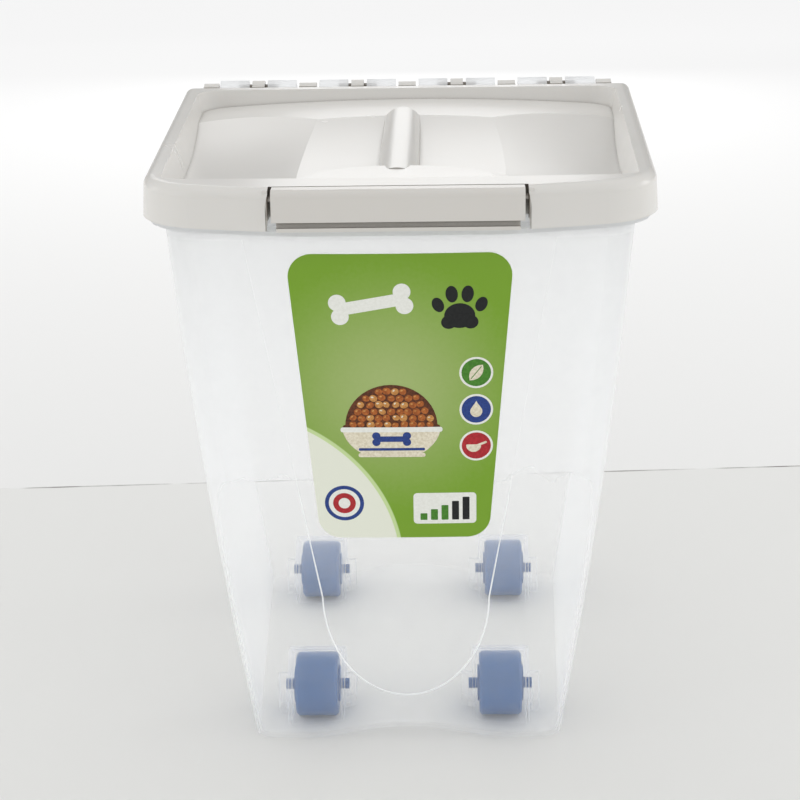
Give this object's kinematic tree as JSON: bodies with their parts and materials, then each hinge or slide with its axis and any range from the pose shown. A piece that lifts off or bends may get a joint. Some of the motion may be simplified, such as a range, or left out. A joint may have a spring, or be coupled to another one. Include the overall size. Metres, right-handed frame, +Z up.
{
  "type": "wheeled pet food bin",
  "caption": "Tapered clear plastic storage bin with a hinged dished lid, a front flap latch, a rim seal, a printed front label and small wheels set into its floor.",
  "frame": {"origin": "under the middle of the bin's overall size, on the floor", "axes": "+Z up, +X to the bin's right as seen from the front, -Y towards the latch at the front"},
  "size_m": [0.3426, 0.3884, 0.397],
  "materials": {
    "bin_plastic": "satin, milky see-through",
    "lid_plastic": "satin",
    "latch_plastic": "satin",
    "seal_rubber": "matte",
    "label_print": "satin print",
    "wheel_plastic": "satin"
  },
  "bodies": {
    "bin": {"bin_body": "bin_plastic", "front_label": "label_print"},
    "lid": {"lid": "lid_plastic", "lid_seal": "seal_rubber"},
    "latch": {"front_latch": "latch_plastic"},
    "wheel_front_left_body": {"wheel_front_left": "wheel_plastic"},
    "wheel_front_right_body": {"wheel_front_right": "wheel_plastic"},
    "wheel_back_left_body": {"wheel_back_left": "wheel_plastic"},
    "wheel_back_right_body": {"wheel_back_right": "wheel_plastic"}
  },
  "joints": [
    {"name": "lid_hinge", "type": "hinge", "parent": "bin", "child": "lid", "pos_m": [0, 0.1887, 0.3915], "axis": [-1, 0, 0], "range_deg": [0, 105]},
    {"name": "latch_hinge", "type": "hinge", "parent": "lid", "child": "latch", "pos_m": [0, -0.1862, 0.387], "axis": [-1, 0, 0], "range_deg": [0, 75]},
    {"name": "wheel_front_left_spin", "type": "hinge", "parent": "bin", "child": "wheel_front_left_body", "pos_m": [-0.0633, -0.0908, 0.022], "axis": [1, 0, 0], "continuous": true},
    {"name": "wheel_front_right_spin", "type": "hinge", "parent": "bin", "child": "wheel_front_right_body", "pos_m": [0.0633, -0.0908, 0.022], "axis": [1, 0, 0], "continuous": true},
    {"name": "wheel_back_left_spin", "type": "hinge", "parent": "bin", "child": "wheel_back_left_body", "pos_m": [-0.07175, 0.1068, 0.022], "axis": [1, 0, 0], "continuous": true},
    {"name": "wheel_back_right_spin", "type": "hinge", "parent": "bin", "child": "wheel_back_right_body", "pos_m": [0.07175, 0.1068, 0.022], "axis": [1, 0, 0], "continuous": true}
  ]
}
